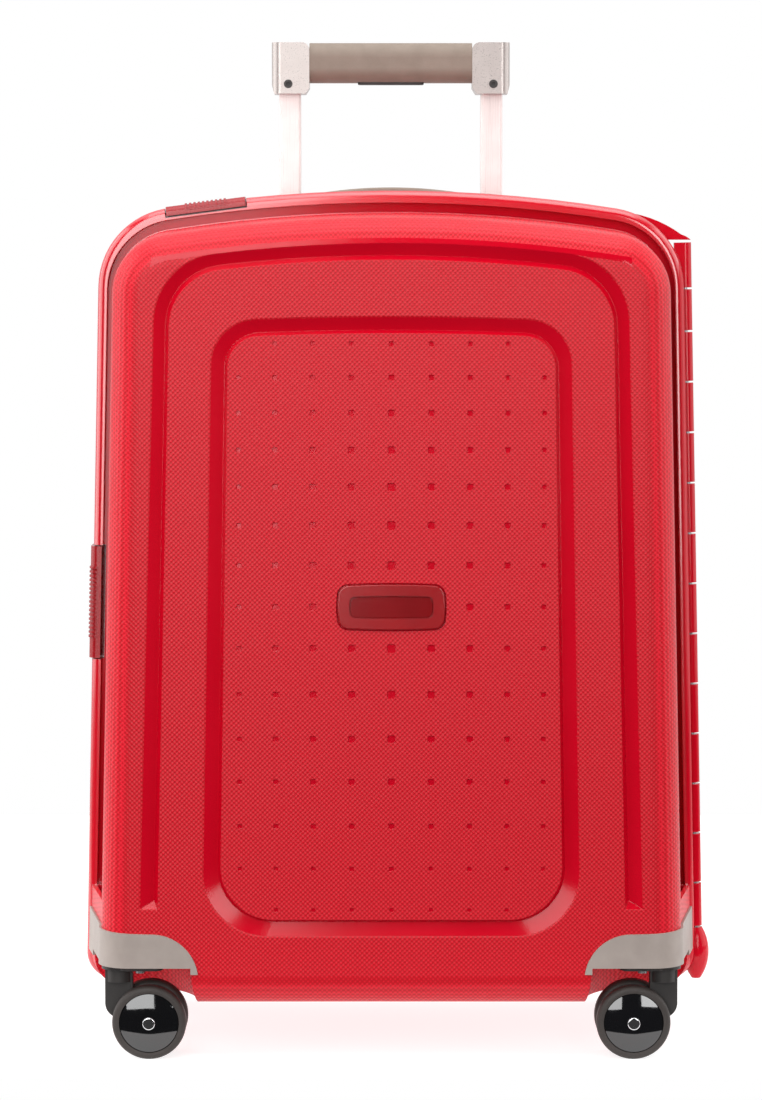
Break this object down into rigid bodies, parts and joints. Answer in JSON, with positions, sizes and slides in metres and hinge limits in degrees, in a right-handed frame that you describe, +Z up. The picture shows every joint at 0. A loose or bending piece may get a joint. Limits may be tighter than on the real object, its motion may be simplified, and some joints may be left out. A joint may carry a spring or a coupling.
{
  "type": "hard shell suitcase",
  "caption": "Two-part hard shell cabin suitcase with a side hinge, lever latches, telescopic pull handle and twin-wheel swivel castors.",
  "frame": {"origin": "on the floor, under the middle of the case's overall width and depth", "axes": "+Z up, -Y towards the lid, +Y towards the trolley side, +X towards the hinge side"},
  "size_m": [0.4074, 0.2006, 0.6468],
  "materials": {
    "red_shell": "moulded polypropylene, fine woven texture on the fields, gloss in the channels",
    "red_trim": "smooth moulded red plastic",
    "badge_red": "satin dark red",
    "taupe_rubber": "soft-touch taupe rubber",
    "taupe_plastic": "taupe moulded plastic",
    "silver_cap": "satin silver",
    "tube_metal": "anodised aluminium tube",
    "steel": "plain steel",
    "screw_black": "black-coated steel",
    "axle_chrome": "bright rivet heads",
    "black_plastic": "black glass-filled nylon",
    "hub_black": "glossy black",
    "tyre": "dark polyurethane tread",
    "lining": "charcoal lining fabric on board",
    "webbing": "woven polyester webbing",
    "dial_face": null
  },
  "bodies": {
    "rear": {"rear_shell": "red_shell", "hinge_pin": "steel", "outer_tube_left": "tube_metal", "outer_tube_right": "tube_metal", "trolley_bezel": "black_plastic", "trolley_foot": "black_plastic", "rear_lining": "lining", "strap_left": "webbing", "strap_right": "webbing", "strap_buckle": "black_plastic", "lock_case": "black_plastic", "rear_castor_screws": "steel", "latch_pins": "steel", "rear_left_castor_base": "black_plastic", "rear_right_castor_base": "black_plastic"},
    "lid": {"front_shell": "red_shell", "front_lining": "lining", "divider": "lining", "badge_frame": "badge_red", "badge_plate": "badge_red", "corner_guard_left": "taupe_plastic", "corner_guard_right": "taupe_plastic", "front_castor_screws": "steel", "front_left_castor_base": "black_plastic", "front_right_castor_base": "black_plastic"},
    "top_latch": {"top_latch": "red_trim"},
    "side_latch": {"side_latch": "red_trim"},
    "bottom_latch": {"bottom_latch": "red_trim"},
    "lock_dial_1": {"lock_dial_1": "dial_face"},
    "lock_dial_2": {"lock_dial_2": "dial_face"},
    "lock_dial_3": {"lock_dial_3": "dial_face"},
    "top_handle": {"top_handle": "taupe_rubber"},
    "side_handle": {"side_handle": "taupe_rubber"},
    "handle_stage": {"middle_tube_left": "tube_metal", "middle_tube_right": "tube_metal"},
    "handle": {"inner_tube_left": "tube_metal", "inner_tube_right": "tube_metal", "end_cap_left": "silver_cap", "end_cap_right": "silver_cap", "grip_core": "black_plastic", "grip_sleeve": "taupe_rubber", "handle_screws": "screw_black"},
    "release_button": {"release_button": "black_plastic"},
    "front_left_swivel": {"front_left_fork": "black_plastic", "front_left_axle": "axle_chrome"},
    "front_left_wheels": {"front_left_hubs": "hub_black", "front_left_tyres": "tyre"},
    "front_right_swivel": {"front_right_fork": "black_plastic", "front_right_axle": "axle_chrome"},
    "front_right_wheels": {"front_right_hubs": "hub_black", "front_right_tyres": "tyre"},
    "rear_left_swivel": {"rear_left_fork": "black_plastic", "rear_left_axle": "axle_chrome"},
    "rear_left_wheels": {"rear_left_hubs": "hub_black", "rear_left_tyres": "tyre"},
    "rear_right_swivel": {"rear_right_fork": "black_plastic", "rear_right_axle": "axle_chrome"},
    "rear_right_wheels": {"rear_right_hubs": "hub_black", "rear_right_tyres": "tyre"}
  },
  "joints": [
    {"name": "lid_hinge", "type": "hinge", "parent": "rear", "child": "lid", "pos_m": [0.19076, 0, 0.28], "axis": [-0.023, 0, 0.9997], "range_deg": [0, 180]},
    {"name": "top_latch_hinge", "type": "hinge", "parent": "rear", "child": "top_latch", "pos_m": [-0.12317, 0.008, 0.53712], "axis": [-0.9917, 0, -0.1288], "range_deg": [0, 75]},
    {"name": "side_latch_hinge", "type": "hinge", "parent": "rear", "child": "side_latch", "pos_m": [-0.19491, 0.008, 0.28194], "axis": [-0.023, 0, -0.9997], "range_deg": [0, 75]},
    {"name": "bottom_latch_hinge", "type": "hinge", "parent": "rear", "child": "bottom_latch", "pos_m": [-0.088, 0.008, 0.0366], "axis": [1, 0, 0], "range_deg": [0, 75]},
    {"name": "lock_dial_1_turn", "type": "hinge", "parent": "rear", "child": "lock_dial_1", "pos_m": [-0.18098, 0.03, 0.26189], "axis": [0.023, 0, 0.9997], "continuous": true},
    {"name": "lock_dial_2_turn", "type": "hinge", "parent": "rear", "child": "lock_dial_2", "pos_m": [-0.18076, 0.03, 0.27139], "axis": [0.023, 0, 0.9997], "continuous": true},
    {"name": "lock_dial_3_turn", "type": "hinge", "parent": "rear", "child": "lock_dial_3", "pos_m": [-0.18054, 0.03, 0.28089], "axis": [0.023, 0, 0.9997], "continuous": true},
    {"name": "top_handle_lift", "type": "slide", "parent": "rear", "child": "top_handle", "axis": [0, 0, 1], "range_m": [0, 0.014]},
    {"name": "side_handle_lift", "type": "slide", "parent": "rear", "child": "side_handle", "axis": [-0.9997, 0, 0.023], "range_m": [0, 0.0175]},
    {"name": "handle_stage_slide", "type": "slide", "parent": "rear", "child": "handle_stage", "axis": [0, 0, 1], "range_m": [0, 0.225]},
    {"name": "handle_slide", "type": "slide", "parent": "handle_stage", "child": "handle", "axis": [0, 0, 1], "range_m": [-0.095, 0.13]},
    {"name": "release_button_press", "type": "slide", "parent": "handle", "child": "release_button", "axis": [0, 0, 1], "range_m": [0, 0.004], "stiffness_N_per_m": 400, "springref_m": -0.003},
    {"name": "front_left_swivel_turn", "type": "hinge", "parent": "lid", "child": "front_left_swivel", "pos_m": [-0.1764, -0.08, 0.05], "axis": [0, 0, 1], "continuous": true},
    {"name": "front_left_wheel_spin", "type": "hinge", "parent": "front_left_swivel", "child": "front_left_wheels", "pos_m": [-0.1568, -0.08, 0.0234], "axis": [0, 1, 0], "continuous": true},
    {"name": "front_right_swivel_turn", "type": "hinge", "parent": "lid", "child": "front_right_swivel", "pos_m": [0.1684, -0.08, 0.05], "axis": [0, 0, 1], "continuous": true},
    {"name": "front_right_wheel_spin", "type": "hinge", "parent": "front_right_swivel", "child": "front_right_wheels", "pos_m": [0.1488, -0.08, 0.0234], "axis": [0, 1, 0], "continuous": true},
    {"name": "rear_left_swivel_turn", "type": "hinge", "parent": "rear", "child": "rear_left_swivel", "pos_m": [-0.1764, 0.058, 0.05], "axis": [0, 0, 1], "continuous": true},
    {"name": "rear_left_wheel_spin", "type": "hinge", "parent": "rear_left_swivel", "child": "rear_left_wheels", "pos_m": [-0.1764, 0.0776, 0.0234], "axis": [1, 0, 0], "continuous": true},
    {"name": "rear_right_swivel_turn", "type": "hinge", "parent": "rear", "child": "rear_right_swivel", "pos_m": [0.1684, 0.058, 0.05], "axis": [0, 0, 1], "continuous": true},
    {"name": "rear_right_wheel_spin", "type": "hinge", "parent": "rear_right_swivel", "child": "rear_right_wheels", "pos_m": [0.1684, 0.0776, 0.0234], "axis": [1, 0, 0], "continuous": true}
  ]
}
